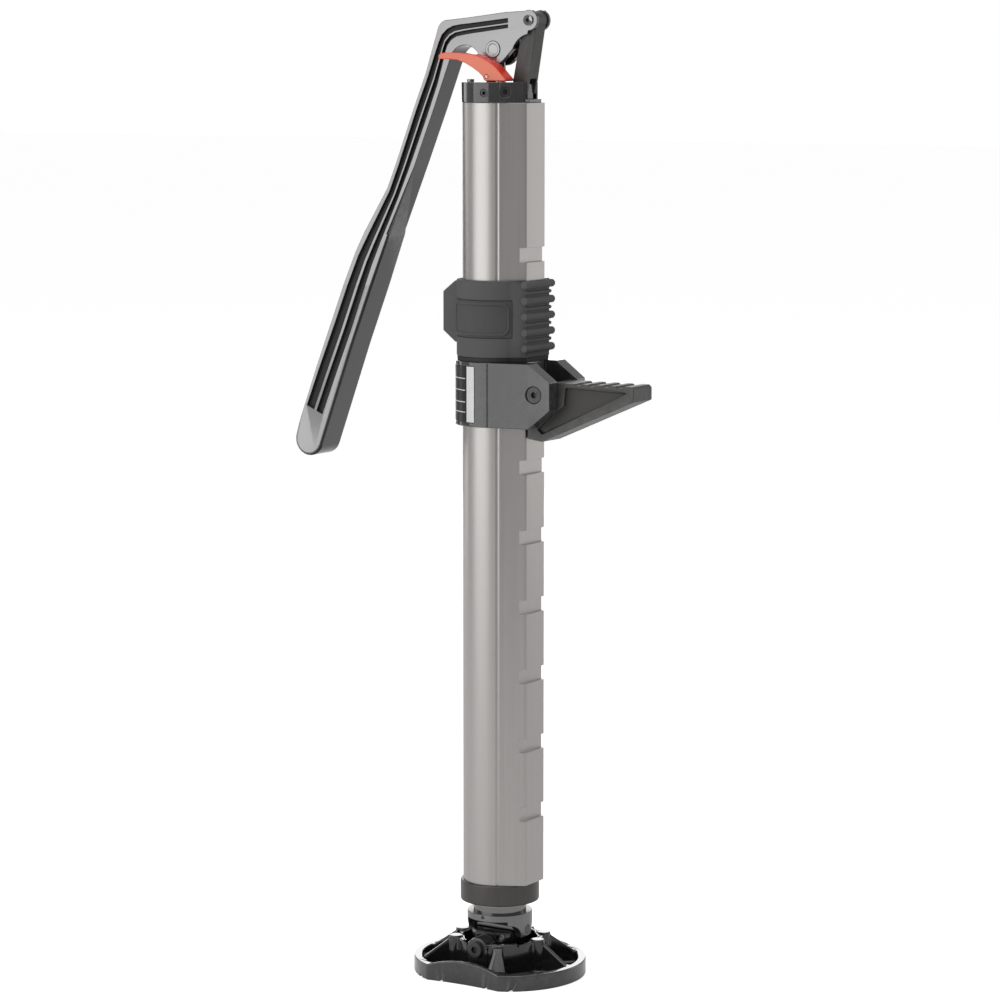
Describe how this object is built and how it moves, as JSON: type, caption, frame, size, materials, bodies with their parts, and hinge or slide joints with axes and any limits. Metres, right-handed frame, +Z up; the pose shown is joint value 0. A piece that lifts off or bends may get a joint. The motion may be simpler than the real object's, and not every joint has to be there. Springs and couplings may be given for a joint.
{
  "type": "hydraulic recovery jack",
  "caption": "Upright hydraulic jack: notched metal column on a chromed ram, sliding toothed hook with rubber grip, pump head with lever handle, and a foot that tilts both ways.",
  "frame": {"origin": "centre of the foot's sole, on the ground", "axes": "+Z up the column; +X towards the side that the hook is on; Y across, along the hinge pins"},
  "size_m": [0.3794, 0.136, 0.914],
  "materials": {
    "black_cast": "gloss black paint over cast iron",
    "bright_steel": "bright zinc-plated steel",
    "dark_steel": "blackened steel",
    "ground_steel": "turned and ground steel",
    "chrome_rod": "hard chrome, polished",
    "anodised_tube": "satin anodised extrusion with drawn streaks",
    "collar_metal": "satin turned steel",
    "gland_metal": "dark satin turned steel",
    "handle_cast": "gloss black cast aluminium with a grey end pad",
    "hook_cast": "dark satin cast steel",
    "red_lever": "satin orange-red paint",
    "sleeve_rubber": "matt grey rubber",
    "badge_rubber": "matt grey rubber, blank",
    "ring_rubber": "black rubber",
    "label_film": null,
    "pad_plastic": "natural nylon",
    "wiper_plastic": "pale wiper ring",
    "seal_rubber": "oil-resistant seal",
    "bronze": "bearing bronze",
    "spring_steel": "spring wire"
  },
  "bodies": {
    "foot": {"foot_casting": "black_cast", "tilt_pin": "dark_steel", "tilt_pin_clip": "bright_steel"},
    "knuckle": {"knuckle": "black_cast", "cross_pin": "dark_steel", "knuckle_screw": "bright_steel"},
    "ram": {"rod_end_collar": "collar_metal", "collar_set_screw": "dark_steel", "piston_rod": "chrome_rod", "piston": "ground_steel", "piston_seal": "seal_rubber", "piston_wear_band": "bronze"},
    "column": {"column_tube": "anodised_tube", "inner_cylinder": "ground_steel", "gland_ring": "gland_metal", "rod_wiper": "wiper_plastic", "rod_seal": "seal_rubber", "rod_guide_bush": "bronze", "pump_head": "black_cast", "head_lock_screws": "dark_steel", "vent_screw": "bright_steel", "filler_plug": "dark_steel", "relief_valve_plug": "dark_steel", "head_seal": "seal_rubber", "pump_barrel": "ground_steel", "plunger_seal": "seal_rubber", "check_ball": "bright_steel", "check_spring": "spring_steel", "release_pin": "bright_steel", "release_stem_seal": "seal_rubber"},
    "plunger": {"pump_plunger": "chrome_rod"},
    "handle": {"handle_lever": "handle_cast", "plunger_pin": "bright_steel", "link_pin": "bright_steel"},
    "link": {"link": "hook_cast", "link_lower_pin": "dark_steel"},
    "release_lever": {"release_lever": "red_lever"},
    "release_stem": {"release_stem": "bright_steel"},
    "carrier": {"hook_carrier": "black_cast", "label_strip": "label_film", "carrier_pads": "pad_plastic", "hook_bolt": "bright_steel", "hook_bolt_nut": "bright_steel", "grip_base_ring": "ring_rubber", "grip_sleeve": "sleeve_rubber", "grip_badge": "badge_rubber", "dog_springs": "spring_steel"},
    "dog": {"locking_dog": "ground_steel"},
    "hook": {"hook": "hook_cast", "hook_bush": "bronze"}
  },
  "joints": [
    {"name": "foot_pitch", "type": "hinge", "parent": "foot", "child": "knuckle", "pos_m": [0, 0, 0.0297], "axis": [0, 1, 0], "range_deg": [-13, 13]},
    {"name": "foot_roll", "type": "hinge", "parent": "knuckle", "child": "ram", "pos_m": [0, 0, 0.044], "axis": [1, 0, 0], "range_deg": [-13, 13]},
    {"name": "ram_slide", "type": "slide", "parent": "ram", "child": "column", "axis": [0, 0, 1], "range_m": [0, 0.536]},
    {"name": "carrier_slide", "type": "slide", "parent": "column", "child": "carrier", "axis": [0, 0, 1], "range_m": [-0.3966, 0.1322]},
    {"name": "dog_slide", "type": "slide", "parent": "carrier", "child": "dog", "axis": [-1, 0, 0], "range_m": [0, 0.0048]},
    {"name": "hook_hinge", "type": "hinge", "parent": "carrier", "child": "hook", "pos_m": [0.057, 0, 0.5609], "axis": [0, -1, 0], "range_deg": [0, 30]},
    {"name": "plunger_slide", "type": "slide", "parent": "column", "child": "plunger", "axis": [0, 0, 1], "range_m": [-0.001, 0.042]},
    {"name": "handle_hinge", "type": "hinge", "parent": "plunger", "child": "handle", "pos_m": [0, 0, 0.878], "axis": [0, 1, 0], "range_deg": [0, 55]},
    {"name": "link_hinge", "type": "hinge", "parent": "handle", "child": "link", "pos_m": [0.0385, 0, 0.9045], "axis": [0, 1, 0], "range_deg": [-48, 1]},
    {"name": "release_hinge", "type": "hinge", "parent": "column", "child": "release_lever", "pos_m": [0.003, -0.0204, 0.853], "axis": [0, -1, 0], "range_deg": [0, 12], "stiffness_Nm_per_rad": 1.5, "springref_deg": -5.73},
    {"name": "release_stem_slide", "type": "slide", "parent": "column", "child": "release_stem", "axis": [0, 0, 1], "range_m": [0, 0.0025]}
  ],
  "couplings": [
    {"joint": "plunger_slide", "follows": "handle_hinge", "m_per_rad": 0.0401},
    {"joint": "link_hinge", "follows": "handle_hinge", "ratio": -0.855},
    {"joint": "release_stem_slide", "follows": "release_hinge", "m_per_rad": 0.011}
  ]
}
